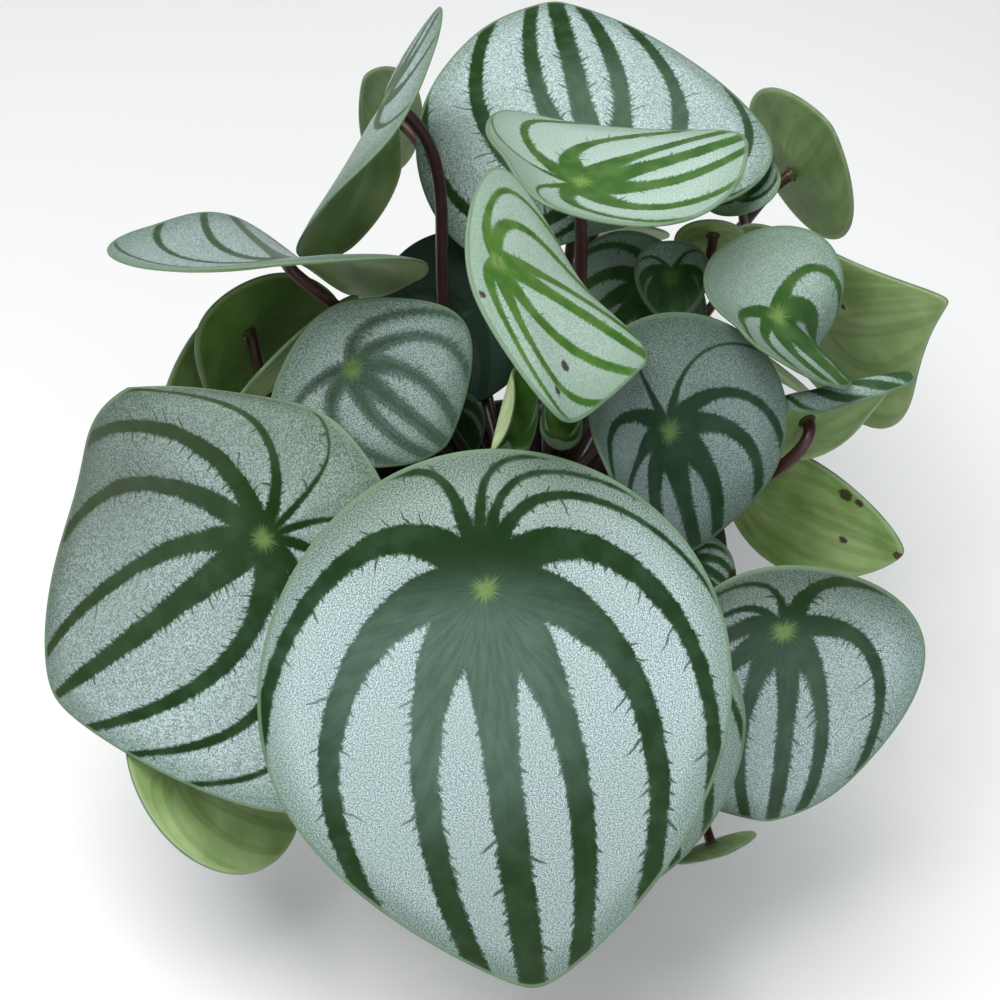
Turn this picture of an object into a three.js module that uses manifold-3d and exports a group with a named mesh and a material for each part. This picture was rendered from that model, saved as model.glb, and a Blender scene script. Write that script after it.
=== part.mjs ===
// A watermelon peperomia (Peperomia argyreia) growing in a plain plastic pot.
// Millimetres, +Z up. The origin is the centre of the pot's foot, on the surface that it stands on.
// The front of the plant, with its largest leaf hanging over the rim, looks along -Y.
//
// The solids: the pot, the soil in it, the crown with every leaf stalk that grows from it,
// and one blade for each leaf, seated on the end of its stalk.

import * as THREE from "three";
import { mergeVertices } from "three/addons/utils/BufferGeometryUtils.js";
import Module from "manifold-3d";

const wasm = await Module();
wasm.setup();

const DEGREE = Math.PI / 180;

// ---------------------------------------------------------------- driving dimensions
const POT_HEIGHT = 90;
const POT_RIM_RADIUS = 46;
const POT_FOOT_RADIUS = 33;
const POT_WALL = 3.5;
const RIM_BAND_HEIGHT = 18;
const RIM_BAND_STEP = 2.5;
const DRAIN_HOLES = 3;
const DRAIN_HOLE_RADIUS = 4;
const DRAIN_CIRCLE_RADIUS = 17;
const SOIL_BELOW_RIM = 7;
const CROWN_RADIUS = 13;
const CROWN_HEIGHT = 9;
const CROWN_DEPTH = 14;
const BLADE_THICKNESS = 1.3;
const STALK_DIAMETER = 3;
const CLEARANCE = 0.3; // between solids that touch on the real plant
const SEAT_GAP = 0.45; // from a stalk's end to the slightly hollow underside of its blade

const SOIL_TOP = POT_HEIGHT - SOIL_BELOW_RIM;

// ---------------------------------------------------------------- the leaves
// at      the navel, where the stalk joins the blade
// faces   bearing and elevation of the upper face's normal; bearing -90 is the front, 0 the right
// roll    the tip's turn from straight downhill
// length  from base to tip; breadth is a share of it, and seat is the navel's share from the base
// point   the share of the length that is drawn out into the tip
// fullness  how much broader the half nearer the base is; slant shifts it from the left side to the
//         right, and skew widens the left side and narrows the right
// lift    the rim's height over the navel's plane at 8 stations: the tip, round by the blade's left
//         to the base, and back by its right (seen from above with the tip pointing away)
// bends   [bearing in the blade from the tip, start, span, angle]: past start the blade curves
//         by that angle over the span
// stalkVia  a point that pulls the stalk aside, where the plain rise would meet another leaf;
//         stalkGrip is how far it runs straight out of the blade
const LEAVES = [
  { name: "front", at: [-10, -53, 140], faces: [-90, 42], roll: 7, length: 116, breadth: 0.83,
    seat: 0.24, point: 0.15, fullness: -0.02, slant: -0.05, skew: -0.02,
    lift: [-4, -2, -2, 0, -3, 0, -2, -2] },
  { name: "left_front", at: [-56, -36, 135], faces: [-115, 30], roll: -38, length: 104, breadth: 0.92,
    seat: 0.3, point: 0.15, fullness: -0.22, slant: 0.12, skew: 0.08,
    lift: [0, 0, -2, 0, 0, -4, -6, -14], bends: [[-135, 24, 10, -70]] },
  { name: "right_front", at: [53, -45, 115], faces: [-88, 26], roll: 0, length: 70, breadth: 0.86,
    seat: 0.22, slant: -0.26, skew: -0.03, lift: [-8, -3, 0, 0, 0, 0, 0, -3],
    bends: [[125, 24, 3, 150]], stalkVia: [34, -41, 97], stalkGrip: 20 },
  { name: "centre_right", at: [28, -16, 146], faces: [-70, 34], roll: 6, length: 54, breadth: 1,
    seat: 0.46, fullness: -0.05, lift: [-3, 0, 0, 0, 0, 10, 18, 10] },
  { name: "top_back", at: [16, 59, 150], faces: [-118, 85], roll: -145, length: 93, breadth: 0.9,
    seat: 0.17, fullness: 0.28, slant: 0.05, skew: -0.02, lift: [-9, -3, -5, -19, 0, -4, -9, -9],
    stalkVia: [2, 45, 105] },
  { name: "top_fold", at: [10, 28.6, 175], faces: [101, 81], roll: -84, length: 58, breadth: 1,
    seat: 0.34, slant: -0.3, skew: 0.15, lift: [4, -2, -4, 4, 10, 6, 3, 4], stalkVia: [12, 16, 125] },
  { name: "centre", at: [-8, -14, 191.8], faces: [2, 50], roll: 0, length: 50, breadth: 1.06,
    seat: 0.15, point: 0.2, fullness: 0.16, slant: -0.42, lift: [-1, -3, -1, 1, 0, -1, -3, -6],
    stalkVia: [8, 32, 134], stalkGrip: 15 },
  { name: "mid_left", at: [-40, 10, 138], faces: [-67, 31], roll: 36, length: 44, breadth: 1.05,
    seat: 0.32, fullness: 0.03, slant: 0.38, stalkVia: [-30, 8, 98], stalkGrip: 8 },
  { name: "right_cup", at: [52, 8.5, 155], faces: [-80, 66], roll: 29, length: 42, breadth: 0.9,
    seat: 0.46, slant: -0.3, lift: [4, -12, 0, 2, 4, 7, 13, 13] },
  { name: "small_dark", at: [31, 26, 150], faces: [-101, 63], roll: 9, length: 20, seat: 0.45,
    lift: [0, 2, 3, 2, 0, 2, 3, 2] },
  { name: "striped", at: [28, 38, 136], faces: [-118, 20], roll: -29, length: 40,
    stalkVia: [30, 50, 112] },
  { name: "back_right", at: [67.3, 90.5, 126], faces: [31, 12], roll: -150, length: 51, breadth: 0.82,
    seat: 0.3, stalkVia: [34, 54, 104], stalkGrip: 12 },
  { name: "right_long", at: [66, 34.3, 132], faces: [45, 8], roll: -131, length: 68, breadth: 0.8,
    seat: 0.3, point: 0.22, fullness: 0.48, slant: 0.1, skew: 0.2 },
  { name: "right_mid", at: [60, -0.9, 133.3], faces: [108, 1], roll: -117, length: 39, breadth: 0.8,
    seat: 0.28, point: 0.3, bends: [[-60, 8, 5, -120]], stalkVia: [48, -14, 118], stalkGrip: 8 },
  { name: "right_low", at: [51.5, 8, 99], faces: [54, -3], roll: -98, length: 48, breadth: 0.8,
    seat: 0.14, fullness: 0.22, skew: 0.1, stalkVia: [28, 10, 108], stalkGrip: 8 },
  { name: "under_front", at: [14, -62, 114], faces: [-78, 29], roll: 9, length: 65 },
  { name: "brown_tip", at: [34, -27, 114], faces: [-66, 34], roll: 35, length: 20 },
  { name: "left_low", at: [-81, -50.5, 68], faces: [-171, -38], roll: -5, length: 58, breadth: 0.8 },
  { name: "low_right", at: [41, -66, 61], faces: [-66, -35], roll: -171, length: 22,
    stalkVia: [26, -42, 122], stalkGrip: 8 },
  { name: "upper_left", at: [-32.8, 63.5, 170.4], faces: [169, 34], roll: -128, length: 66,
    breadth: 0.85, seat: 0.62, lift: [0, -3, -16, -14, 0, 4, 0, 0], stalkVia: [-37, 54, 118],
    stalkGrip: 30 },
  { name: "upper_left_rear", at: [-35, 96.6, 139], faces: [150, 5], roll: 150, length: 50,
    breadth: 0.46, seat: 0.5, stalkVia: [-14, 58, 84], stalkGrip: 20 },
  { name: "left_flat", at: [-53, 21, 160], faces: [104, 51], roll: 12, length: 62, breadth: 1.14,
    seat: 0.3, skew: 0.05, lift: [10, 11, 8, 3, 0, -4, -10, -12], stalkVia: [-22, 26, 128],
    stalkGrip: 4 },
  { name: "left_under", at: [-66, 31, 128], faces: [133, 0], roll: 10, length: 45, breadth: 0.95,
    seat: 0.34, slant: -0.3, skew: -0.35, stalkVia: [-66, 4, 94], stalkGrip: 4 },
  { name: "left_rear", at: [-77, 32, 96], faces: [142, -3], roll: 184, length: 40, seat: 0.2,
    stalkVia: [-42, 14, 97], stalkGrip: 8 },
  { name: "left_inner", at: [-46.7, 24.5, 136], faces: [139, 21], roll: 81, length: 40, breadth: 0.6,
    seat: 0.26, stalkVia: [-20, 15, 110] },
  { name: "between", at: [-21.5, 21, 110.5], faces: [-74, 20], roll: 12, length: 23,
    stalkVia: [-9, 30, 96], stalkGrip: 6 },
  { name: "pale_dome", at: [42, 46.1, 145.3], faces: [87, 13], roll: 7, length: 19,
    stalkVia: [38, 46, 108], stalkGrip: 6 },
  { name: "silver_back", at: [50, 66, 139], faces: [177, 69], roll: -107, length: 22 },
  { name: "bud", at: [-5, -6, 137], faces: [-39, 35], roll: 126, length: 24, breadth: 0.6, seat: 0.4,
    bends: [[90, 2, 3, 100]], stalkGrip: 3 },
  { name: "bud_small", at: [6, 3, 125], faces: [-108, -11], roll: 176, length: 20, breadth: 0.55,
    seat: 0.4, lift: [-2, -3, -3, -1, 0, -1, -3, -3], stalkVia: [5, 16, 112], stalkGrip: 3 },
  { name: "back_low", at: [12, 92, 108], faces: [82, 42], roll: 8, length: 60 },
  { name: "back_low_left", at: [-16, 54, 113], faces: [-90, 45], roll: 0, length: 44, breadth: 0.95,
    seat: 0.45, stalkVia: [-12, 44, 90], stalkGrip: 12 },
  { name: "back_low_right", at: [54, 60, 96], faces: [45, 35], roll: 15, length: 50 },
];
const LEAF_DEFAULTS = { breadth: 0.88, seat: 0.28, point: 0.08, skew: 0, slant: 0, fullness: 0.08, roll: 0,
  lift: [0, 0, 0, 0, 0, 0, 0, 0], bends: [] };

// ---------------------------------------------------------------- the blade's form
const TIP_SPAN = 1.1; // radians of the outline to each side that the point takes
const TIP_ROUNDING = 0.09;
const LIFT_POWER = 1.7; // a lifted rim rises slowly near the navel and faster outside
const LARGE_BLADE = { rings: 4, sectors: 24 };
const SMALL_BLADE = { rings: 3, sectors: 16 };
const SMALL_LENGTH = 52; // blades up to this length take the coarser grid

// The flat blade's rim at angle t from the tip, as [towards the tip, towards the left] from the navel.
function outline(leaf, t) {
  const fromTip = Math.atan2(Math.sin(t), Math.cos(t));
  const point = Math.max(0, 1 - Math.hypot(fromTip, TIP_ROUNDING) / TIP_SPAN) ** 2;
  const along = (1 - leaf.point) * (1 + Math.cos(t)) / 2 + leaf.point * point - leaf.seat;
  const fullness = leaf.fullness - leaf.slant * Math.sin(t);
  const across = Math.sin(t) * (1 - fullness * Math.cos(t)) * (1 + leaf.skew * Math.sin(t));
  return [leaf.length * along, leaf.length * leaf.breadth / 2 * across];
}

// A smooth closed curve through the 8 stations' heights (Catmull-Rom).
function liftAt(leaf, t) {
  const turn = ((t / (2 * Math.PI)) % 1 + 1) % 1 * 8;
  const i = Math.floor(turn);
  const f = turn - i;
  const [a, b, c, d] = [i + 7, i, i + 1, i + 2].map((k) => leaf.lift[k % 8]);
  return b + f / 2 * (c - a + f * (2 * a - 5 * b + 4 * c - d + f * (3 * (b - c) + d - a)));
}

// Curves the point p past a bend's start, keeping lengths along the blade.
function bend(p, [bearing, start, span, angle]) {
  const [c, s] = [Math.cos(bearing * DEGREE), Math.sin(bearing * DEGREE)];
  const out = p.x * c + p.y * s;
  if (out <= start) return;
  const radius = span / (angle * DEGREE);
  const turned = Math.min(1, (out - start) / span) * angle * DEGREE;
  const beyond = Math.max(0, out - start - span);
  const height = radius - p.z;
  const newOut = start + height * Math.sin(turned) + beyond * Math.cos(turned);
  p.z = radius - height * Math.cos(turned) + beyond * Math.sin(turned);
  p.x += (newOut - out) * c;
  p.y += (newOut - out) * s;
}

// The blade's middle surface in its own frame: x to the tip, y to the left, z up, navel at 0.
function bladePoint(leaf, share, t) {
  const [along, across] = outline(leaf, t);
  const reach = Math.hypot(along, across);
  const lift = liftAt(leaf, t);
  const kept = Math.sqrt(Math.max(1 - 1.05 * (lift / reach) ** 2, 0.06));
  const p = new THREE.Vector3(along * kept * share, across * kept * share, lift * share ** LIFT_POWER);
  leaf.bends.forEach((b) => bend(p, b));
  return p;
}

// The blade's axes in the plant's frame: to the tip, to the left, and the upper face's normal.
function bladeAxes(leaf) {
  const [bearing, elevation] = leaf.faces.map((a) => a * DEGREE);
  const normal = new THREE.Vector3(Math.cos(elevation) * Math.cos(bearing),
    Math.cos(elevation) * Math.sin(bearing), Math.sin(elevation));
  const downhill = new THREE.Vector3(Math.sin(elevation) * Math.cos(bearing),
    Math.sin(elevation) * Math.sin(bearing), -Math.cos(elevation));
  const tip = downhill.applyAxisAngle(normal, leaf.roll * DEGREE);
  return { tip, left: normal.clone().cross(tip), normal };
}

// A closed solid: the middle surface offset to both sides along its normals, walled round the rim.
function bladeGeometry(leaf) {
  const { rings, sectors } = leaf.length > SMALL_LENGTH ? LARGE_BLADE : SMALL_BLADE;
  const middle = [new THREE.Vector3()];
  for (let ring = 1; ring <= rings; ring++) {
    for (let k = 0; k < sectors; k++) {
      middle.push(bladePoint(leaf, ring / rings, k * 2 * Math.PI / sectors));
    }
  }
  const at = (ring, k) => (ring === 0 ? 0 : 1 + (ring - 1) * sectors + k % sectors);
  const faces = [];
  for (let k = 0; k < sectors; k++) {
    faces.push([0, at(1, k), at(1, k + 1)]);
    for (let ring = 1; ring < rings; ring++) {
      faces.push([at(ring, k), at(ring + 1, k), at(ring + 1, k + 1)]);
      faces.push([at(ring, k), at(ring + 1, k + 1), at(ring, k + 1)]);
    }
  }
  const surface = new THREE.BufferGeometry().setFromPoints(middle).setIndex(faces.flat());
  surface.computeVertexNormals();
  const normals = surface.getAttribute("normal");
  const offset = middle.map((p, i) => new THREE.Vector3().fromBufferAttribute(normals, i)
    .multiplyScalar(BLADE_THICKNESS / 2));
  const points = [
    ...middle.map((p, i) => p.clone().add(offset[i])),
    ...middle.map((p, i) => p.clone().sub(offset[i])),
  ];
  const under = middle.length;
  const all = [...faces, ...faces.map(([a, b, c]) => [under + a, under + c, under + b])];
  for (let k = 0; k < sectors; k++) {
    const [a, b] = [at(rings, k), at(rings, k + 1)];
    all.push([a, under + a, under + b], [a, under + b, b]);
  }
  return new THREE.BufferGeometry().setFromPoints(points).setIndex(all.flat());
}

// ---------------------------------------------------------------- the stalks and crown
const STALK_SIDES = 6;
const STALK_STEPS = 9;
const LEAST_CLIMB = 26; // a low leaf's stalk still rises this far, to clear the pot's rim
const STALK_ROOT_SPREAD = 0.085; // how far from the crown's axis a stalk starts, as a share of its reach
const CROWN_SIDES = 14;
const FLAT_SIDE = new THREE.Vector3(0, 0, 1);

function stalkCurve(leaf) {
  const navel = new THREE.Vector3(...leaf.at);
  const { normal } = bladeAxes(leaf);
  const end = navel.clone().addScaledVector(normal, -(BLADE_THICKNESS / 2 + SEAT_GAP));
  const root = new THREE.Vector3(leaf.at[0], leaf.at[1], 0).multiplyScalar(STALK_ROOT_SPREAD);
  root.z = SOIL_TOP + 1;
  const climb = Math.max(0.6 * (end.z - root.z), LEAST_CLIMB);
  const [x, y, z] = leaf.stalkVia ?? [root.x + (end.x - root.x) * 0.15, root.y + (end.y - root.y) * 0.15,
    root.z + climb];
  const grip = leaf.stalkGrip ?? 0.35 * root.distanceTo(end);
  return new THREE.CubicBezierCurve3(root, new THREE.Vector3(x, y, z),
    end.clone().addScaledVector(normal, -grip), end);
}

function stalkGeometry(leaf) {
  const section = new THREE.Shape();
  for (let k = 0; k < STALK_SIDES; k++) {
    const a = k * 2 * Math.PI / STALK_SIDES;
    section[k ? "lineTo" : "moveTo"](STALK_DIAMETER / 2 * Math.cos(a), STALK_DIAMETER / 2 * Math.sin(a));
  }
  return new THREE.ExtrudeGeometry(section, { steps: STALK_STEPS, extrudePath: stalkCurve(leaf) });
}

function crownGeometry() {
  const profile = [[0, SOIL_TOP - CROWN_DEPTH], [CROWN_RADIUS * 0.7, SOIL_TOP - CROWN_DEPTH],
    [CROWN_RADIUS, SOIL_TOP - CROWN_DEPTH / 2], [CROWN_RADIUS, SOIL_TOP + 1],
    [CROWN_RADIUS * 0.8, SOIL_TOP + CROWN_HEIGHT * 0.7], [CROWN_RADIUS * 0.4, SOIL_TOP + CROWN_HEIGHT * 0.95],
    [0, SOIL_TOP + CROWN_HEIGHT]];
  return turned(profile, CROWN_SIDES);
}

// ---------------------------------------------------------------- solids and booleans
// A profile of [radius, height] points turned round the Z axis.
function turned(profile, sides) {
  const geometry = new THREE.LatheGeometry(profile.map(([r, z]) => new THREE.Vector2(r, z)), sides);
  return geometry.rotateX(Math.PI / 2);
}

function toSolid(geometry) {
  const bare = new THREE.BufferGeometry().setIndex(geometry.index)
    .setAttribute("position", geometry.getAttribute("position"));
  const merged = mergeVertices(bare, 1e-3);
  const triVerts = new Uint32Array(merged.index.array);
  const vertProperties = merged.getAttribute("position").array;
  return new wasm.Manifold(new wasm.Mesh({ numProp: 3, vertProperties, triVerts }));
}

function toGeometry(solid) {
  const { vertProperties, triVerts } = solid.getMesh();
  return new THREE.BufferGeometry().setIndex(new THREE.BufferAttribute(triVerts, 1))
    .setAttribute("position", new THREE.BufferAttribute(vertProperties, 3));
}

// ---------------------------------------------------------------- the pot and soil
const POT_SIDES = 40;
const POT_FLOOR = 5;
const SOIL_CROWN_HOLE = CROWN_RADIUS + CLEARANCE + 0.4;

function potRadiusAt(z) {
  const body = POT_RIM_RADIUS - RIM_BAND_STEP;
  return POT_FOOT_RADIUS + (body - POT_FOOT_RADIUS) * z / (POT_HEIGHT - RIM_BAND_HEIGHT);
}

function potGeometry() {
  const bandFoot = POT_HEIGHT - RIM_BAND_HEIGHT;
  const profile = [[0, 0], [POT_FOOT_RADIUS, 0], [POT_RIM_RADIUS - RIM_BAND_STEP, bandFoot],
    [POT_RIM_RADIUS, bandFoot + 1.5], [POT_RIM_RADIUS + 1, POT_HEIGHT - 2], [POT_RIM_RADIUS, POT_HEIGHT],
    [POT_RIM_RADIUS - POT_WALL, POT_HEIGHT], [potRadiusAt(POT_FLOOR) - POT_WALL, POT_FLOOR], [0, POT_FLOOR]];
  let pot = toSolid(turned(profile, POT_SIDES));
  for (let k = 0; k < DRAIN_HOLES; k++) {
    const angle = (k + 0.5) * 2 * Math.PI / DRAIN_HOLES;
    const hole = new THREE.CylinderGeometry(DRAIN_HOLE_RADIUS, DRAIN_HOLE_RADIUS, 4 * POT_FLOOR, 12)
      .rotateX(Math.PI / 2)
      .translate(DRAIN_CIRCLE_RADIUS * Math.cos(angle), DRAIN_CIRCLE_RADIUS * Math.sin(angle), 0);
    pot = pot.subtract(toSolid(hole));
  }
  return toGeometry(pot);
}

function innerPotRadius(z) {
  const foot = potRadiusAt(POT_FLOOR) - POT_WALL;
  const rim = POT_RIM_RADIUS - POT_WALL;
  return foot + (rim - foot) * (z - POT_FLOOR) / (POT_HEIGHT - POT_FLOOR);
}

function soilGeometry() {
  const foot = POT_FLOOR + CLEARANCE;
  const profile = [[0, foot], [innerPotRadius(foot) - 2 * CLEARANCE, foot],
    [innerPotRadius(SOIL_TOP - 1) - 2 * CLEARANCE, SOIL_TOP - 1], [0.7 * POT_RIM_RADIUS, SOIL_TOP],
    [SOIL_CROWN_HOLE, SOIL_TOP - 0.5], [SOIL_CROWN_HOLE, SOIL_TOP - CROWN_DEPTH - CLEARANCE],
    [0, SOIL_TOP - CROWN_DEPTH - CLEARANCE]];
  return turned(profile, POT_SIDES);
}

// ---------------------------------------------------------------- assembly
const MATERIALS = {
  pot: new THREE.MeshStandardMaterial({ color: 0x2b2c2e, roughness: 0.6 }),
  soil: new THREE.MeshStandardMaterial({ color: 0x2c2019, roughness: 1 }),
  stalk: new THREE.MeshStandardMaterial({ color: 0x4a1f1f, roughness: 0.45 }),
  blade: new THREE.MeshStandardMaterial({ color: 0x7f9a8c, roughness: 0.4, side: THREE.DoubleSide }),
};

const plant = new THREE.Group();

function add(name, geometry, material) {
  const mesh = new THREE.Mesh(geometry, material.clone());
  mesh.name = name;
  plant.add(mesh);
  return mesh;
}

add("pot", potGeometry(), MATERIALS.pot);
add("soil", soilGeometry(), MATERIALS.soil);

const leaves = LEAVES.map((leaf) => ({ ...LEAF_DEFAULTS, ...leaf }));
const stalks = leaves.map((leaf) => toSolid(stalkGeometry(leaf)));
const crown = stalks.reduce((joined, stalk) => joined.add(stalk), toSolid(crownGeometry()));
add("crown_and_stalks", toGeometry(crown), MATERIALS.stalk);

for (const leaf of leaves) {
  const blade = add(`leaf_${leaf.name}`, bladeGeometry(leaf), MATERIALS.blade);
  const { tip, left, normal } = bladeAxes(leaf);
  blade.quaternion.setFromRotationMatrix(new THREE.Matrix4().makeBasis(tip, left, normal));
  blade.position.set(...leaf.at);
}

export default plant;
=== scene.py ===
# A watermelon peperomia in a plain pot. The blades, stalks, soil and pot get their fine form and
# finish here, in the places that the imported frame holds. Lengths are millimetres and colours linear.
import math

import bpy
import numpy as np
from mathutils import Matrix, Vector


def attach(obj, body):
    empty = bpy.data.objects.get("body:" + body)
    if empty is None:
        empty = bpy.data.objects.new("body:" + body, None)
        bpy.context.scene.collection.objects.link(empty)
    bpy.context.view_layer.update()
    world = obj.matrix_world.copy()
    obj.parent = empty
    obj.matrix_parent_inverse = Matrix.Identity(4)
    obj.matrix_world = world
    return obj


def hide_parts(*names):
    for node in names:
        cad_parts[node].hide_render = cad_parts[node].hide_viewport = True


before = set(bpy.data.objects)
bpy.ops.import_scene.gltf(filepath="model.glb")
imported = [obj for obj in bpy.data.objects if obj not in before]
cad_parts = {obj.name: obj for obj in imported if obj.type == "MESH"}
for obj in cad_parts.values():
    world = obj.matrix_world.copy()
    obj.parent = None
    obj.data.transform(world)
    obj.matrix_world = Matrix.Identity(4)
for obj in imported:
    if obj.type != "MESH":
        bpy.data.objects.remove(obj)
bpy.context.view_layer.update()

MM = 0.001

# -------------------- driving dimensions, as in the CAD
POT_HEIGHT = 90
POT_RIM_RADIUS = 46
POT_FOOT_RADIUS = 33
POT_WALL = 3.5
RIM_BAND_HEIGHT = 18
RIM_BAND_STEP = 2.5
DRAIN_HOLES = 3
DRAIN_HOLE_RADIUS = 4
DRAIN_CIRCLE_RADIUS = 17
POT_FLOOR = 5
SOIL_BELOW_RIM = 7
SOIL_TOP = POT_HEIGHT - SOIL_BELOW_RIM
CROWN_RADIUS = 13
CROWN_HEIGHT = 9
BLADE_THICKNESS = 1.3
STALK_RADIUS = 1.5


def row(name, at, faces, roll, length, **rest):
    return dict(rest, name=name, at=at, faces=faces, roll=roll, length=length)


# Each row gives the leaf's name, then at, faces, roll and length, and what differs from the defaults.
# With them, breadth, seat, point, fullness, slant, skew, lift and bends place and shape the blade, and
# stalkVia and stalkGrip its stalk, as they do in the CAD.
LEAVES = [
    row("front", (-10, -53, 140), (-90, 42), 7, 116, breadth=0.83, seat=0.24, point=0.15, fullness=-0.02,
        slant=-0.05, skew=-0.02, lift=(-4, -2, -2, 0, -3, 0, -2, -2)),
    row("left_front", (-56, -36, 135), (-115, 30), -38, 104, breadth=0.92, seat=0.3, point=0.15,
        fullness=-0.22, slant=0.12, skew=0.08, lift=(0, 0, -2, 0, 0, -4, -6, -14),
        bends=((-135, 24, 10, -70),)),
    row("right_front", (53, -45, 115), (-88, 26), 0, 70, breadth=0.86, seat=0.22, slant=-0.26, skew=-0.03,
        lift=(-8, -3, 0, 0, 0, 0, 0, -3), bends=((125, 24, 3, 150),), stalkVia=(34, -41, 97), stalkGrip=20),
    row("centre_right", (28, -16, 146), (-70, 34), 6, 54, breadth=1, seat=0.46, fullness=-0.05,
        lift=(-3, 0, 0, 0, 0, 10, 18, 10)),
    row("top_back", (16, 59, 150), (-118, 85), -145, 93, breadth=0.9, seat=0.17, fullness=0.28, slant=0.05,
        skew=-0.02, lift=(-9, -3, -5, -19, 0, -4, -9, -9), stalkVia=(2, 45, 105)),
    row("top_fold", (10, 28.6, 175), (101, 81), -84, 58, breadth=1, seat=0.34, slant=-0.3, skew=0.15,
        lift=(4, -2, -4, 4, 10, 6, 3, 4), stalkVia=(12, 16, 125)),
    row("centre", (-8, -14, 191.8), (2, 50), 0, 50, breadth=1.06, seat=0.15, point=0.2, fullness=0.16,
        slant=-0.42, lift=(-1, -3, -1, 1, 0, -1, -3, -6), stalkVia=(8, 32, 134), stalkGrip=15),
    row("mid_left", (-40, 10, 138), (-67, 31), 36, 44, breadth=1.05, seat=0.32, fullness=0.03, slant=0.38,
        stalkVia=(-30, 8, 98), stalkGrip=8),
    row("right_cup", (52, 8.5, 155), (-80, 66), 29, 42, breadth=0.9, seat=0.46, slant=-0.3,
        lift=(4, -12, 0, 2, 4, 7, 13, 13)),
    row("small_dark", (31, 26, 150), (-101, 63), 9, 20, seat=0.45, lift=(0, 2, 3, 2, 0, 2, 3, 2)),
    row("striped", (28, 38, 136), (-118, 20), -29, 40, stalkVia=(30, 50, 112)),
    row("back_right", (67.3, 90.5, 126), (31, 12), -150, 51, breadth=0.82, seat=0.3, stalkVia=(34, 54, 104),
        stalkGrip=12),
    row("right_long", (66, 34.3, 132), (45, 8), -131, 68, breadth=0.8, seat=0.3, point=0.22, fullness=0.48,
        slant=0.1, skew=0.2),
    row("right_mid", (60, -0.9, 133.3), (108, 1), -117, 39, breadth=0.8, seat=0.28, point=0.3,
        bends=((-60, 8, 5, -120),), stalkVia=(48, -14, 118), stalkGrip=8),
    row("right_low", (51.5, 8, 99), (54, -3), -98, 48, breadth=0.8, seat=0.14, fullness=0.22, skew=0.1,
        stalkVia=(28, 10, 108), stalkGrip=8),
    row("under_front", (14, -62, 114), (-78, 29), 9, 65),
    row("brown_tip", (34, -27, 114), (-66, 34), 35, 20),
    row("left_low", (-81, -50.5, 68), (-171, -38), -5, 58, breadth=0.8),
    row("low_right", (41, -66, 61), (-66, -35), -171, 22, stalkVia=(26, -42, 122), stalkGrip=8),
    row("upper_left", (-32.8, 63.5, 170.4), (169, 34), -128, 66, breadth=0.85, seat=0.62,
        lift=(0, -3, -16, -14, 0, 4, 0, 0), stalkVia=(-37, 54, 118), stalkGrip=30),
    row("upper_left_rear", (-35, 96.6, 139), (150, 5), 150, 50, breadth=0.46, seat=0.5,
        stalkVia=(-14, 58, 84), stalkGrip=20),
    row("left_flat", (-53, 21, 160), (104, 51), 12, 62, breadth=1.14, seat=0.3, skew=0.05,
        lift=(10, 11, 8, 3, 0, -4, -10, -12), stalkVia=(-22, 26, 128), stalkGrip=4),
    row("left_under", (-66, 31, 128), (133, 0), 10, 45, breadth=0.95, seat=0.34, slant=-0.3, skew=-0.35,
        stalkVia=(-66, 4, 94), stalkGrip=4),
    row("left_rear", (-77, 32, 96), (142, -3), 184, 40, seat=0.2, stalkVia=(-42, 14, 97), stalkGrip=8),
    row("left_inner", (-46.7, 24.5, 136), (139, 21), 81, 40, breadth=0.6, seat=0.26,
        stalkVia=(-20, 15, 110)),
    row("between", (-21.5, 21, 110.5), (-74, 20), 12, 23, stalkVia=(-9, 30, 96), stalkGrip=6),
    row("pale_dome", (42, 46.1, 145.3), (87, 13), 7, 19, stalkVia=(38, 46, 108), stalkGrip=6),
    row("silver_back", (50, 66, 139), (177, 69), -107, 22),
    row("bud", (-5, -6, 137), (-39, 35), 126, 24, breadth=0.6, seat=0.4, bends=((90, 2, 3, 100),),
        stalkGrip=3),
    row("bud_small", (6, 3, 125), (-108, -11), 176, 20, breadth=0.55, seat=0.4,
        lift=(-2, -3, -3, -1, 0, -1, -3, -3), stalkVia=(5, 16, 112), stalkGrip=3),
    row("back_low", (12, 92, 108), (82, 42), 8, 60),
    row("back_low_left", (-16, 54, 113), (-90, 45), 0, 44, breadth=0.95, seat=0.45, stalkVia=(-12, 44, 90),
        stalkGrip=12),
    row("back_low_right", (54, 60, 96), (45, 35), 15, 50),
]
LEAF_DEFAULTS = dict(breadth=0.88, seat=0.28, point=0.08, skew=0, slant=0, fullness=0.08,
                     lift=(0,) * 8, bends=())

# Main veins: the angle at the navel from the tip, how far the vein drifts off its flow line on the way
# to the rim, the breadth of its band, and how much of that is gone at the rim. Angles are in degrees,
# breadths in full bands.
SIDE_VEINS = [
    (48, 24, 1.1, 0.3), (98, 32, 1.0, 0.35), (139, 18, 0.7, 0.3), (163, 9, 0.22, 0.3), (175, 3, 0.15, 0.3),
]
VEINS = [(0, 0, 1.35, 0.25)] + SIDE_VEINS
VEINS += [(-angle, -drift, breadth, taper) for angle, drift, breadth, taper in SIDE_VEINS]
LEFT_FRONT_VEINS = [
    (0, 0, 1.5, 0.65),
    (50, 10, 1.1, 0.5), (82, 16, 0.8, 0.5), (112, 14, 0.6, 0.4), (140, 12, 0.35, 0.3), (165, 6, 0.2, 0.3),
    (-34, -22, 1.1, 0.5), (-74, -54, 1.1, 0.4), (-106, -48, 1.0, 0.3), (-144, -20, 0.5, 0.4),
    (-172, -4, 0.2, 0.3),
]

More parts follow.
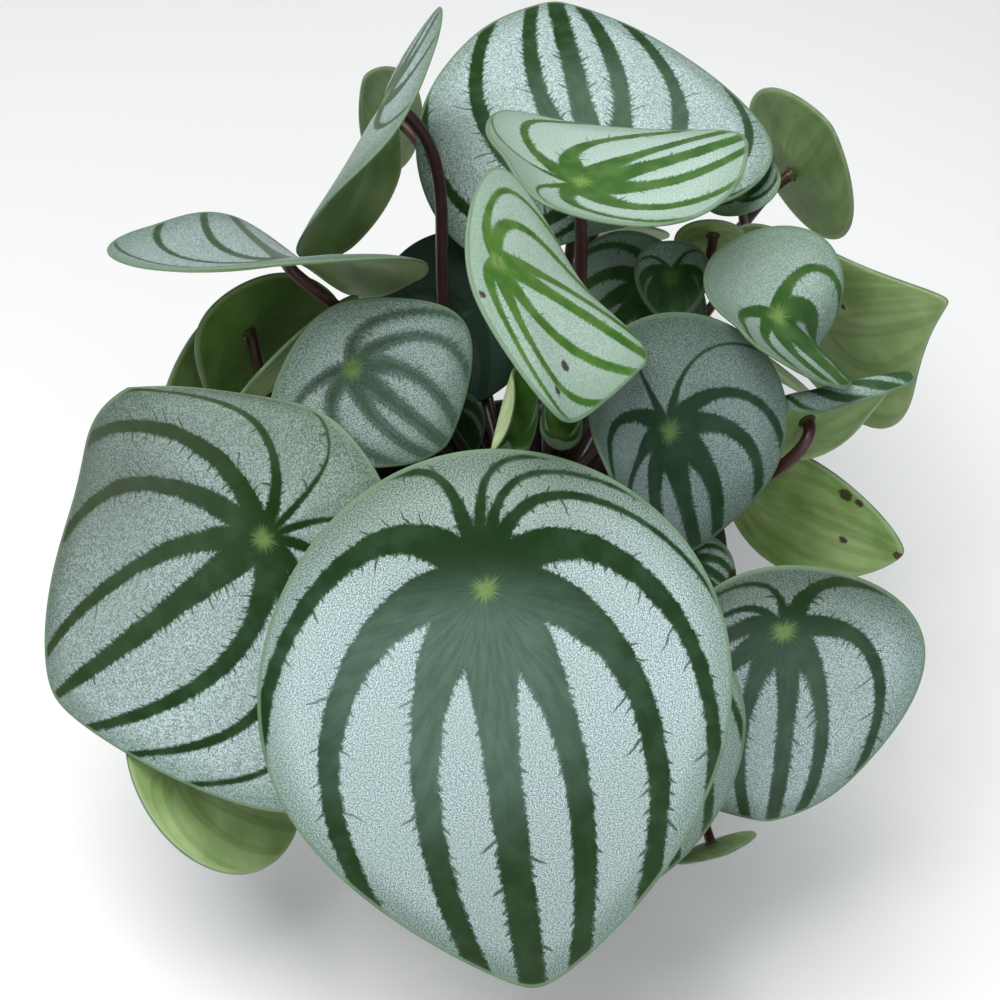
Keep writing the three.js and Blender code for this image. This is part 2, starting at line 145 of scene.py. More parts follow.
# What a blade shows beyond its shape. young: 0 a mature blade, 1 fresh bright green. shade: painted
# shade, how much darker the whole blade is painted for the shadow it lies in. silver: how bright the
# silver is; its dulling below 1 is partly the blade's own tone and partly painted shade. bands: the
# bands' breadth. blur: how far a silver veil covers them. under: 0 a pale underside, 1 an olive one, -1
# a whitish one. star: how much broader the bands are at the navel, in full bands. wander: how far a vein
# may start off its angle, and bow: how far all are turned, in degrees. mist: how strongly a
# painted sheen, the sky's reflection, lightens the bands below the navel. spurs: the side veins' length.
# veins: the table of main veins. dusk: a painted shadow that darkens the silver and the bands:
# a bearing on the blade, where it starts towards it, over how many mm, and by how much. spots: brown
# ones, each along, across and radius.
# a blade that gets no painted shadow
NO_PAINTED_SHADOW = (0, 0, 1, 0)
LOOK_DEFAULTS = dict(young=0.15, shade=0, silver=1, bands=0.8, blur=0, under=0.3, star=1.35,
                     wander=4, bow=0, mist=0.3, spurs=0.7, veins=VEINS, dusk=(0, 10, 40, 0.2), spots=())
LOOKS = {
    "front": dict(young=0, bands=1.1, wander=0, bow=-5, mist=1, dusk=(0, 25, 60, 0.4)),
    "left_front": dict(young=0.05, bands=0.72, silver=0.96, mist=0.1, spurs=0.9, star=0.8, wander=0,
                       veins=LEFT_FRONT_VEINS, dusk=(-80, -10, 46, 0.8)),
    "right_front": dict(young=0, bands=0.75, silver=0.85, mist=0.5, spurs=1.2, bow=14,
                        dusk=(180, -8, 16, 0.6)),
    "centre_right": dict(young=0, bands=0.9, shade=0.8, silver=0.75, mist=0, bow=-5),
    "top_back": dict(young=0.1, bands=0.92, mist=0.8, spurs=1.1, dusk=NO_PAINTED_SHADOW),
    "top_fold": dict(young=0.65, bands=0.85, star=1.8, dusk=NO_PAINTED_SHADOW),
    "centre": dict(young=0.9, bands=0.7, silver=0.9, dusk=NO_PAINTED_SHADOW,
                   spots=((19.2, -14.4, 1.3), (17.2, -22, 1.1), (-3.9, -11.4, 0.9), (9.6, 15.4, 0.5))),
    "mid_left": dict(young=0.05, blur=0.4, silver=1.1, mist=0.5, spurs=1.2, dusk=NO_PAINTED_SHADOW),
    "right_cup": dict(young=0.5, bands=0.9, shade=0.35, silver=0.85),
    "small_dark": dict(young=0.4, bands=1.5, shade=0.5),
    "striped": dict(young=0.5, bands=0.9, shade=0.5),
    "between": dict(young=0.3, bands=1.5, shade=0.7),
    "left_flat": dict(bands=0.55, silver=0.7),
    "back_right": dict(under=0.75),
    "right_long": dict(under=-0.15, spots=((15.3, -11.7, 1.1), (12.7, -5.2, 0.6), (11.7, -0.9, 0.9),
                                         (9.3, -19.3, 0.5))),
    "right_mid": dict(under=0.6, shade=0.2),
    "right_low": dict(under=0, spots=((26, -11, 1.8), (29.5, -10, 1.2), (26, 3.2, 1.2), (40, 1.6, 1.5))),
    "brown_tip": dict(spots=((12, 5, 3),)),
    "left_low": dict(under=-0.2),
    "left_under": dict(under=0.9, shade=0.2),
    "left_rear": dict(under=0.7),
    "left_inner": dict(under=0.1, young=0.8),
    "upper_left": dict(under=0.5, young=0.2, bands=0.6, silver=0.8),
    "upper_left_rear": dict(under=0.5),
    # back_low_left, in the dark hollow behind the crown, gets so much painted shade that it is nearly black
    "back_low_left": dict(shade=1.55, silver=0.5),
    "pale_dome": dict(under=0, young=1),
    "bud": dict(under=-0.8, young=1, bands=1.4),
    "bud_small": dict(under=-0.6, young=1),
}


class Leaf:
    """One leaf's rows of the tables, and its blade's axes in the plant's frame."""

    def __init__(self, fields):
        looks = {**LOOK_DEFAULTS, **LOOKS.get(fields["name"], {})}
        for key, value in {**LEAF_DEFAULTS, **fields, **looks}.items():
            setattr(self, key, value)
        bearing, elevation = (math.radians(a) for a in self.faces)
        normal = np.array([math.cos(elevation) * math.cos(bearing),
                           math.cos(elevation) * math.sin(bearing), math.sin(elevation)])
        downhill = np.array([math.sin(elevation) * math.cos(bearing),
                             math.sin(elevation) * math.sin(bearing), -math.cos(elevation)])
        turn = math.radians(self.roll)
        self.normal = normal
        self.tip = downhill * math.cos(turn) + np.cross(normal, downhill) * math.sin(turn)
        self.left = np.cross(normal, self.tip)
        self.navel = np.array(self.at, float)

    def to_plant(self, points):
        """From the blade's own axes to the plant's."""
        return points @ np.array([self.tip, self.left, self.normal]) + self.navel


# -------------------- the blade's form, as in the CAD
TIP_SPAN = 1.1  # radians of the outline to each side that the point takes
TIP_ROUNDING = 0.09
LIFT_POWER = 1.7  # a lifted rim rises slowly near the navel and faster outside
LIFT_DRAW = 1.05  # how far a lifted rim is drawn in, for the square of its slope
LEAST_KEPT = 0.06  # the least of the square of its reach that it keeps
RIM_INSET = 0.35  # the rounded edge ends where the CAD's square one does


def outline(leaf, t):
    """The flat blade's rim at angle t from the tip: towards the tip and towards the left."""
    from_tip = np.arctan2(np.sin(t), np.cos(t))
    point = np.maximum(0, 1 - np.hypot(from_tip, TIP_ROUNDING) / TIP_SPAN) ** 2
    along = (1 - leaf.point) * (1 + np.cos(t)) / 2 + leaf.point * point - leaf.seat
    fullness = leaf.fullness - leaf.slant * np.sin(t)
    across = np.sin(t) * (1 - fullness * np.cos(t)) * (1 + leaf.skew * np.sin(t))
    return leaf.length * along, leaf.length * leaf.breadth / 2 * across


def lift_at(leaf, t):
    """A smooth closed curve through the 8 stations' heights (Catmull-Rom)."""
    turn = (t / (2 * np.pi)) % 1 * 8
    i = np.floor(turn).astype(int)
    f = turn - i
    a, b, c, d = (np.array(leaf.lift, float)[k % 8] for k in (i + 7, i, i + 1, i + 2))
    return b + f / 2 * (c - a + f * (2 * a - 5 * b + 4 * c - d + f * (3 * (b - c) + d - a)))


def bend(p, bearing, start, span, angle):
    """Curves the points past a bend's start, keeping lengths along the blade."""
    c = math.cos(math.radians(bearing))
    s = math.sin(math.radians(bearing))
    angle = math.radians(angle)
    out = p[..., 0] * c + p[..., 1] * s
    radius = span / angle
    turned = np.clip((out - start) / span, 0, 1) * angle
    beyond = np.maximum(0, out - start - span)
    height = radius - p[..., 2]
    past = out > start
    new_out = start + height * np.sin(turned) + beyond * np.cos(turned)
    p[..., 2] = np.where(past, radius - height * np.cos(turned) + beyond * np.sin(turned), p[..., 2])
    p[..., 0] += np.where(past, new_out - out, 0) * c
    p[..., 1] += np.where(past, new_out - out, 0) * s


def middle_surface(leaf, share, t):
    """Points midway through the blade, at a share of the way from the navel to the rim at angle t."""
    along, across = outline(leaf, t)
    reach = np.hypot(along, across)
    share = share * (1 - RIM_INSET / reach)
    lift = lift_at(leaf, t)
    kept = np.sqrt(np.maximum(1 - LIFT_DRAW * (lift / reach) ** 2, LEAST_KEPT))
    p = np.stack([along * kept * share, across * kept * share, lift * share ** LIFT_POWER], axis=-1)
    for each in leaf.bends:
        bend(p, *each)
    return p


# -------------------- the veins
# Seen flat, the veins leave the navel in all directions and turn to run for the tip, like the lines
# of a flow from a source inside a disc of radius 1 to a sink beyond its edge.
SINK = 1.35
FULL_LENGTH = 100  # of a full-sized blade
BAND_BREADTH = 0.45  # mm for each root of a millimetre of length
BAND_VARIETY = (0.94, 1.06)  # how far a band's breadth may differ from its table's
TAPER_POWER = 4  # a band keeps its breadth for most of its way and loses it near the rim
THINNEST_BAND = 0.6  # mm; a small blade has none thinner
STAR_RADIUS = 18  # of the green star about the navel, in a full-sized blade
SPUR_LEAN = 0.7  # how far a side vein leans to the tip for each step away from its band


def surroundings_alike(which):
    """1 at each point of the grid whose 8 neighbours have the same number as it, 0 elsewhere."""
    rows = np.concatenate([which[:1], which, which[-1:]])
    alike = np.ones(which.shape)
    for row in range(3):
        for turn in (-1, 0, 1):
            near = np.roll(rows, turn, axis=1)[row:row + len(which)]
            alike *= near == which
    return alike


def vein_field(leaf, share, t, seed):
    """What each point of the grid knows of the band that is nearest to it.

    distance: to the band's edge in mm, negative inside it. place: where on the band a side vein that
    passes here leaves it. unit: the mm that one unit of place spans here. number: the band's, with its
    two sides told apart. breadth: the band's. centre: the signed distance to its centre line. alike: 1
    where the same band is nearest to all neighbouring points. And radius, the distance to the navel.
    """
    rng = np.random.default_rng(seed)
    source = 2 * leaf.seat - 1
    turn = np.exp(1j * t)
    z = source + share * (turn - source)
    flow = np.log(z - source) + np.log(1 - source * z) - 2 * np.log(SINK - z)
    speed = 1 / (z - source) - source / (1 - source * z) + 2 / (SINK - z)
    along, across = outline(leaf, t)
    radius = share * np.hypot(along, across)
    # slopes over the flat blade, from those over share and turn
    by_share = (speed * (turn - source)).imag
    by_turn = (speed * share * 1j * turn).imag
    x_turn = share * np.gradient(along, t[0], axis=1)
    y_turn = share * np.gradient(across, t[0], axis=1)
    area = along * y_turn - across * x_turn

    full = BAND_BREADTH * math.sqrt(leaf.length) * leaf.bands
    star = STAR_RADIUS * leaf.length / FULL_LENGTH
    nearest = dict(distance=np.full(z.shape, np.inf))
    shown = [vein for vein in leaf.veins if full * vein[2] >= THINNEST_BAND]
    for k, (angle, drift, breadth, taper) in enumerate(shown):
        start = math.radians(angle + leaf.bow + rng.uniform(-1, 1) * leaf.wander * (angle != 0))
        off = np.angle(np.exp(1j * (flow.imag - start - math.radians(drift) * share)))
        slope = by_share - math.radians(drift)
        x_slope = (slope * y_turn - by_turn * across) / area
        y_slope = (by_turn * along - slope * x_turn) / area
        steep = np.hypot(x_slope, y_slope)
        width = full * breadth * rng.uniform(*BAND_VARIETY) * (1 - taper * share ** TAPER_POWER)
        width = width + full * leaf.star * math.sqrt(breadth) * np.exp(-(radius / star) ** 2)
        band = dict(
            distance=np.abs(off) / steep - width / 2,
            place=flow.real - SPUR_LEAN * np.abs(off),
            unit=1 / steep,
            number=2 * k + (off > 0) * 1.0,
            breadth=width,
            centre=off / steep,
            which=k,
        )
        nearer = band["distance"] < nearest["distance"]
        nearest = {key: np.where(nearer, value, nearest.get(key, 0)) for key, value in band.items()}
    return dict(nearest, radius=radius, alike=surroundings_alike(nearest["which"]))


# -------------------- meshes
def new_object(name, verts, faces, material_of_face=None, smooth=True):
    mesh = bpy.data.meshes.new(name)
    mesh.from_pydata([tuple(v) for v in verts], [], [tuple(f) for f in faces])
    if material_of_face is not None:
        mesh.polygons.foreach_set("material_index", material_of_face)
    mesh.polygons.foreach_set("use_smooth", [smooth] * len(mesh.polygons))
    mesh.update()
    obj = bpy.data.objects.new(name, mesh)
    bpy.context.collection.objects.link(obj)
    return obj


def set_attribute(obj, name, *parts):
    """Gives each vertex a vector. Each of its 3 parts is a number, or an array with one for each."""
    values = np.empty((len(obj.data.vertices), 3), np.float32)
    for column, part in enumerate(parts):
        values[:, column] = part
    attribute = obj.data.attributes.new(name, "FLOAT_VECTOR", "POINT")
    attribute.data.foreach_set("vector", values.ravel())


def smooth_noise(x, y, seed, waves):
    """A gentle sum of waves of unit size."""
    rng = np.random.default_rng(seed)
    total = np.zeros(np.broadcast(x, y).shape)
    for _ in range(waves):
        angle, phase = rng.uniform(0, 2 * np.pi, 2)
        pitch = rng.uniform(0.7, 1.6)
        total += np.sin(pitch * (x * np.cos(angle) + y * np.sin(angle)) + phase)
    return total / waves


# -------------------- the blades
LEAST_RINGS = 16
RINGS_PER_MM = 0.5
LEAST_SECTORS = 72
SECTOR_PAIRS_PER_MM = 1.1
EDGE_ROWS = 3  # rows of vertices round the edge
QUILT_HEIGHT = 0.55  # how far the silver stands proud of the bands on a full-sized blade
QUILT_SLOPE = 2.5  # mm from a band over which it rises
QUILT_SUNK = 0.3  # the share of that height by which the bands lie under the smooth blade
QUILT_BELOW = 0.35  # the share of it that shows on the underside
RIM_FADE = 5  # mm from the rim, and from the navel, over which the relief fades out
NAVEL_FADE = 6
NAVEL_DIMPLE = 0.5
WAVE_HEIGHT = 0.5
WAVE_PITCH = 9
RIM_THINNING = 0.35  # how much thinner the blade is at its rim
FULL_FRINGE = 4.5  # mm; a band of this breadth has the most frayed edges
LEAST_FRINGE = 0.12
FAR_FROM_RIM = 50
LEAF_SPACING = 37.0  # keeps the leaves' textures apart
VEIN_SEED = 100
WAVE_SEED = 300
UPPER_SLOT = 0
UNDER_SLOT = 1
MOST_SPOTS = 4
NO_SPOT = (0, 0, 0)


def blade_faces(row_count, sectors, upper_rows):
    """The faces from the upper navel point over all rows of vertices to the lower one, and their slots."""
    def at(row, k):
        return 1 + row * sectors + k % sectors

    last = 1 + row_count * sectors
    faces = [(0, at(0, k), at(0, k + 1)) for k in range(sectors)]
    for row in range(row_count - 1):
        faces += [(at(row, k), at(row + 1, k), at(row + 1, k + 1), at(row, k + 1)) for k in range(sectors)]
    faces += [(last, at(row_count - 1, k + 1), at(row_count - 1, k)) for k in range(sectors)]
    upper = (1 + upper_rows) * sectors
    return faces, [UPPER_SLOT] * upper + [UNDER_SLOT] * (len(faces) - upper)


def build_blade(leaf, index):
    scale = min(1, leaf.length / FULL_LENGTH)
    rings = max(LEAST_RINGS, round(leaf.length * RINGS_PER_MM))
    sectors = max(LEAST_SECTORS, 2 * round(leaf.length * SECTOR_PAIRS_PER_MM))
    share = (np.arange(1, rings + 1) / rings)[:, None]
    t = (np.arange(sectors) * 2 * np.pi / sectors)[None, :]
    p = middle_surface(leaf, share, t)
    by_share = np.gradient(p, axis=0)
    by_turn = np.roll(p, -1, axis=1) - np.roll(p, 1, axis=1)
    normal = np.cross(by_share, by_turn)
    normal /= np.linalg.norm(normal, axis=-1, keepdims=True)
    field = vein_field(leaf, share, t, seed=VEIN_SEED + index)
    along, across = outline(leaf, t)
    rim = (1 - share) * np.hypot(along, across)

    fade = np.clip(rim / RIM_FADE, 0, 1) * np.clip(field["radius"] / NAVEL_FADE, 0, 1)
    quilt = QUILT_HEIGHT * scale * (1 - np.exp(-np.maximum(field["distance"], 0) / QUILT_SLOPE)) * fade
    wave = WAVE_HEIGHT * scale * smooth_noise(share * along / WAVE_PITCH, share * across / WAVE_PITCH,
                                              seed=WAVE_SEED + index, waves=5)
    half = BLADE_THICKNESS / 2 * (1 - RIM_THINNING * share ** 4)
    upper = p + normal * (half + quilt - QUILT_SUNK * QUILT_HEIGHT * scale + wave * fade)[..., None]
    lower = p - normal * (half - QUILT_BELOW * quilt - wave * fade)[..., None]

    outward = by_share[-1] / np.linalg.norm(by_share[-1], axis=-1, keepdims=True)
    edge = []
    for row in range(1, EDGE_ROWS + 1):
        a = math.pi * row / (EDGE_ROWS + 1)
        edge.append(p[-1] + half[-1][:, None] * (math.cos(a) * normal[-1] + math.sin(a) * outward))

    rows = [*upper, *edge, *lower[::-1]]
    mean = normal[0].mean(axis=0)
    mean /= np.linalg.norm(mean)
    top = mean * (BLADE_THICKNESS / 2 - NAVEL_DIMPLE)
    bottom = -mean * BLADE_THICKNESS / 2
    verts = np.concatenate([top[None], *rows, bottom[None]])
    faces, slots = blade_faces(len(rows), sectors, upper_rows=rings + EDGE_ROWS - 1)
    obj = new_object(f"blade_{leaf.name}", leaf.to_plant(verts) * MM, faces, slots)

    def spread(values, at_navel):
        """The grid's values for all vertices. The edge takes the rim's."""
        grid = np.broadcast_to(values, (rings, sectors))
        around = [grid[-1]] * EDGE_ROWS
        return np.concatenate([[at_navel], *grid, *around, *grid[::-1], [at_navel]])

    x = spread(share * along, 0)
    y = spread(share * across, 0)
    distance = spread(field["distance"], field["distance"][0].min())
    place = spread(field["place"], field["place"][0].mean())
    fringe = spread(np.clip(field["breadth"] / FULL_FRINGE, LEAST_FRINGE, 1), 1)
    # painted shadow: the silver and the bands darken towards a bearing on the blade, where shade falls on
    # it
    bearing, start, span, amount = leaf.dusk
    towards = x * math.cos(math.radians(bearing)) + y * math.sin(math.radians(bearing))
    dusk = amount * np.clip((towards - start) / span, 0, 1)
    set_attribute(obj, "vein", distance, place, spread(field["number"], 0))
    set_attribute(obj, "flat", x, y, LEAF_SPACING * index)
    set_attribute(obj, "reach", spread(field["radius"], 0), spread(rim, FAR_FROM_RIM),
                  spread(field["unit"], 1))
    set_attribute(obj, "line", spread(field["centre"], 0), spread(field["breadth"] / 2, 1),
                  spread(field["alike"], 0))
    # tone's middle part is the painted shade that darkens the whole blade
    set_attribute(obj, "tone", leaf.young, leaf.shade, leaf.silver)
    set_attribute(obj, "tone2", leaf.blur, leaf.under, fringe)
    # tone3: the painted sheen, the side veins' length and the painted shadow
    set_attribute(obj, "tone3", leaf.mist, leaf.spurs, dusk)
    for k in range(MOST_SPOTS):
        set_attribute(obj, f"spot{k}", *(leaf.spots[k] if k < len(leaf.spots) else NO_SPOT))
    return obj


# -------------------- stalks and crown
STALK_ROOT_SPREAD = 0.085  # how far from the crown's axis a stalk starts, as a share of its reach
START_LEAN = 0.15  # how far outward it has gone by the end of its climb
CLIMB_SHARE = 0.6
LEAST_CLIMB = 26  # a low leaf's stalk still rises this far, to clear the pot's rim
GRIP_SHARE = 0.35
SEAT_GAP = 0.45
STALK_SIDES = 14
STALK_STEPS = 40
ROOT_GIRTH = 1.08
STALK_TAPER = 0.16
NAVEL_FLARE = 0.5  # how much it widens into the blade, and over which share of its length
FLARE_SHARE = 0.02
SMALL_LEAF = 30
SMALL_LEAF_GIRTH = 0.8
CROWN_SIDES = 64
CROWN_STEPS = 24
CROWN_BLUNTNESS = 0.7
CROWN_TOP_RADIUS = 0.4
CROWN_ROUGHNESS = 0.05


def stalk_path(leaf):
    """A curve from the crown to the blade's underside, and a step on into the blade."""
    end = leaf.navel - leaf.normal * (BLADE_THICKNESS / 2 + SEAT_GAP)
    root = np.array([leaf.at[0] * STALK_ROOT_SPREAD, leaf.at[1] * STALK_ROOT_SPREAD, SOIL_TOP + 1.0])
    climb = max(CLIMB_SHARE * (end[2] - root[2]), LEAST_CLIMB)
    plain = [root[0] + (end[0] - root[0]) * START_LEAN, root[1] + (end[1] - root[1]) * START_LEAN,
             root[2] + climb]
    via = np.array(getattr(leaf, "stalkVia", plain), float)
    grip = getattr(leaf, "stalkGrip", GRIP_SHARE * np.linalg.norm(end - root))
    u = np.linspace(0, 1, STALK_STEPS + 1)[:, None]
    before = end - leaf.normal * grip
    path = root * (1 - u) ** 3 + via * 3 * u * (1 - u) ** 2 + before * 3 * u ** 2 * (1 - u) + end * u ** 3
    return np.concatenate([path, [end + leaf.normal * SEAT_GAP]])


def tube(path, radii, sides):
    """Rings of vertices round a path, with a frame that doesn't twist."""
    tangent = np.gradient(path, axis=0)
    tangent /= np.linalg.norm(tangent, axis=1, keepdims=True)
    side = np.cross(tangent[0], [0, 0, 1.0])
    if np.linalg.norm(side) < 0.1:
        side = np.cross(tangent[0], [0, 1.0, 0])
    rings = []
    for point, forward, radius in zip(path, tangent, radii):
        side = side - forward * (side @ forward)
        side /= np.linalg.norm(side)
        other = np.cross(forward, side)
        a = np.arange(sides) * 2 * np.pi / sides
        rings.append(point + radius * (np.cos(a)[:, None] * side + np.sin(a)[:, None] * other))
    verts = np.concatenate(rings + [path[:1], path[-1:]])
    faces = []
    n = len(path)
    for a in range(0, (n - 1) * sides, sides):
        b = a + sides
        faces += [(a + k, a + (k + 1) % sides, b + (k + 1) % sides, b + k) for k in range(sides)]
    for k in range(sides):
        faces.append((n * sides, (k + 1) % sides, k))
        faces.append((n * sides + 1, (n - 1) * sides + k, (n - 1) * sides + (k + 1) % sides))
    return verts, faces


def build_stalks(leaves):
    verts, faces, shares = [], [], []
    count = 0
    for leaf in leaves:
        path = stalk_path(leaf)
        u = np.linspace(0, 1, len(path))
        radii = STALK_RADIUS * (ROOT_GIRTH - STALK_TAPER * u + NAVEL_FLARE * np.exp(-(1 - u) / FLARE_SHARE))
        radii = radii * (SMALL_LEAF_GIRTH if leaf.length < SMALL_LEAF else 1.0)
        v, f = tube(path, radii, STALK_SIDES)
        verts.append(v)
        faces += [tuple(i + count for i in face) for face in f]
        shares += [np.repeat(u, STALK_SIDES), [0, 1]]
        count += len(v)
    obj = new_object("stalks", np.concatenate(verts) * MM, faces)
    set_attribute(obj, "along", np.concatenate(shares), 0, 0)
    return obj


def lathe(profile, sides):
    """A closed profile of [radius, height] turned round Z. The first and last points lie on the axis."""
    verts = [(0, 0, profile[0][1])]
    inner = profile[1:-1]
    for r, z in inner:
        verts += [(r * math.cos(k * 2 * math.pi / sides), r * math.sin(k * 2 * math.pi / sides), z)
                  for k in range(sides)]
    verts.append((0, 0, profile[-1][1]))
    faces = []
    for k in range(sides):
        faces.append((0, 1 + (k + 1) % sides, 1 + k))
        for row in range(len(inner) - 1):
            a = 1 + row * sides
            b = a + sides
            faces.append((a + k, a + (k + 1) % sides, b + (k + 1) % sides, b + k))
        a = 1 + (len(inner) - 1) * sides
        faces.append((a + k, a + (k + 1) % sides, len(verts) - 1))
    return np.array(verts), faces


def build_crown():
    foot = SOIL_TOP - 1
    rise = CROWN_HEIGHT + 0.5
    profile = [(0, SOIL_TOP - 4)]
    for i in range(CROWN_STEPS + 1):
        a = math.pi / 2 * i / CROWN_STEPS
        radius = CROWN_RADIUS * math.cos(a) ** CROWN_BLUNTNESS if i < CROWN_STEPS else CROWN_TOP_RADIUS
        profile.append((radius, foot + rise * math.sin(a)))
    profile.append((0, foot + rise))
    verts, faces = lathe(profile, CROWN_SIDES)
    bump = smooth_noise(verts[:, 0] * 0.8, verts[:, 1] * 0.8 + verts[:, 2], seed=7, waves=9)
    verts[:, :2] *= (1 + CROWN_ROUGHNESS * bump)[:, None]
    return new_object("crown", verts * MM, faces)


# -------------------- pot and soil
POT_SIDES = 160
DRAIN_HOLE_SIDES = 32
SOIL_RADIUS = 41.4
SOIL_RINGS = 40
SOIL_SIDES = 128
SOIL_LEVEL = SOIL_TOP - 0.8  # of the soil's surface before it is roughened
SOIL_LUMPS = 1.5  # the height of its waves, and of the finer ones on them
SOIL_FINE_LUMPS = 0.9
CRUMB_STRETCH = (0.5, 1.3)
CRUMB_DENTS = (0.75, 1.2)
CRUMB_HEIGHTS = (-0.9, 0.5)  # over the soil's top
CRUMB_MARGIN = 2.5  # from the pot's wall
CRUMBS_FROM = 0.09  # the square of the share of the radius that stays clear, for the crown
SOIL_CRUMBS = 420
PERLITE_GRAINS = 25


def pot_radius_at(z):
    body = POT_RIM_RADIUS - RIM_BAND_STEP
    return POT_FOOT_RADIUS + (body - POT_FOOT_RADIUS) * z / (POT_HEIGHT - RIM_BAND_HEIGHT)


def build_pot():
    band = POT_HEIGHT - RIM_BAND_HEIGHT
    foot = POT_FOOT_RADIUS
    rim = POT_RIM_RADIUS
    body = rim - RIM_BAND_STEP
    inner_rim = rim - POT_WALL
    inner_foot = pot_radius_at(POT_FLOOR) - POT_WALL
    profile = [(0, 0.6), (foot - 5, 0.6), (foot - 4, 0), (foot - 1, 0), (foot, 1.0)]
    profile += [(pot_radius_at(z), z) for z in (6, 20, 40, 60, band - 3)]
    profile += [(body, band - 1), (body + 0.6, band - 0.2), (rim - 0.4, band + 0.8), (rim, band + 1.8),
                (rim + 0.45, band + 6), (rim + 0.9, POT_HEIGHT - 3.2), (rim + 0.9, POT_HEIGHT - 1.6),
                (rim + 0.3, POT_HEIGHT - 0.4), (rim - 1.2, POT_HEIGHT), (inner_rim + 0.8, POT_HEIGHT - 0.3),
                (inner_rim, POT_HEIGHT - 1.2)]
    profile += [(inner_rim + (inner_foot - inner_rim) * u, POT_HEIGHT + (POT_FLOOR - POT_HEIGHT) * u)
                for u in (0.1, 0.4, 0.7, 1)]
    profile.append((0, POT_FLOOR))
    verts, faces = lathe(profile, POT_SIDES)
    shell = new_object("pot_shell", verts * MM, faces)
    drill_drain_holes(shell)
    return shell


def drill_drain_holes(shell):
    """Cuts round holes through the pot's floor."""
    bottom = -3
    top = POT_FLOOR + 3
    plug = [(0, bottom), (DRAIN_HOLE_RADIUS, bottom), (DRAIN_HOLE_RADIUS, top), (0, top)]
    verts, faces = lathe(plug, DRAIN_HOLE_SIDES)
    plugs = []
    for k in range(DRAIN_HOLES):
        angle = (k + 0.5) * 2 * math.pi / DRAIN_HOLES
        aside = DRAIN_CIRCLE_RADIUS * np.array([math.cos(angle), math.sin(angle), 0])
        plug_object = new_object(f"plug{k}", (verts + aside) * MM, faces)
        plugs.append(plug_object)
        hole = shell.modifiers.new(f"hole{k}", "BOOLEAN")
        hole.operation = "DIFFERENCE"
        hole.object = plug_object
    whole = shell.data
    evaluated = shell.evaluated_get(bpy.context.evaluated_depsgraph_get())
    shell.data = bpy.data.meshes.new_from_object(evaluated)
    shell.modifiers.clear()
    bpy.data.meshes.remove(whole)
    for plug_object in plugs:
        bpy.data.objects.remove(plug_object)


def build_soil():
    foot = POT_FLOOR + 0.1
    foot_radius = pot_radius_at(POT_FLOOR) - POT_WALL - 0.3
    profile = [(0, foot), (foot_radius, foot), (SOIL_RADIUS - 0.4, SOIL_TOP - 4)]
    for i in range(SOIL_RINGS + 1):
        profile.append((SOIL_RADIUS * (1 - i / SOIL_RINGS) + 0.3 * i / SOIL_RINGS, SOIL_LEVEL))
    profile.append((0, SOIL_LEVEL))
    verts, faces = lathe(profile, SOIL_SIDES)
    top = verts[:, 2] > SOIL_TOP - 1
    rough = smooth_noise(verts[:, 0] * 0.9, verts[:, 1] * 0.9, seed=11, waves=14)
    fine = smooth_noise(verts[:, 0] * 3.1, verts[:, 1] * 3.1, seed=12, waves=14)
    verts[:, 2] += np.where(top, SOIL_LUMPS * rough + SOIL_FINE_LUMPS * fine - 0.4, 0)
    return new_object("potting_mix", verts * MM, faces)


def crumb(rng, size):
    """A rough lump: an icosahedron with its corners pushed about."""
    g = (1 + math.sqrt(5)) / 2
    corners = np.array([(-1, g, 0), (1, g, 0), (-1, -g, 0), (1, -g, 0), (0, -1, g), (0, 1, g),
                        (0, -1, -g), (0, 1, -g), (g, 0, -1), (g, 0, 1), (-g, 0, -1), (-g, 0, 1)], float)
    corners /= np.linalg.norm(corners[0])
    faces = [(0, 11, 5), (0, 5, 1), (0, 1, 7), (0, 7, 10), (0, 10, 11), (1, 5, 9), (5, 11, 4), (11, 10, 2),
             (10, 7, 6), (7, 1, 8), (3, 9, 4), (3, 4, 2), (3, 2, 6), (3, 6, 8), (3, 8, 9), (4, 9, 5),
             (2, 4, 11), (6, 2, 10), (8, 6, 7), (9, 8, 1)]
    stretch = rng.uniform(*CRUMB_STRETCH, 3)
    return corners * rng.uniform(*CRUMB_DENTS, (12, 1)) * stretch * size, faces


def build_crumbs(name, count, sizes, seed):
    """Loose lumps on the soil, more or less sunk into it."""
    rng = np.random.default_rng(seed)
    verts, faces = [], []
    for i in range(count):
        r = (SOIL_RADIUS - CRUMB_MARGIN) * math.sqrt(rng.uniform(CRUMBS_FROM, 1))
        a = rng.uniform(0, 2 * math.pi)
        v, f = crumb(rng, rng.uniform(*sizes))
        verts.append(v + [r * math.cos(a), r * math.sin(a), SOIL_TOP + rng.uniform(*CRUMB_HEIGHTS)])
        faces += [tuple(j + len(v) * i for j in face) for face in f]
    return new_object(name, np.concatenate(verts) * MM, faces, smooth=False)


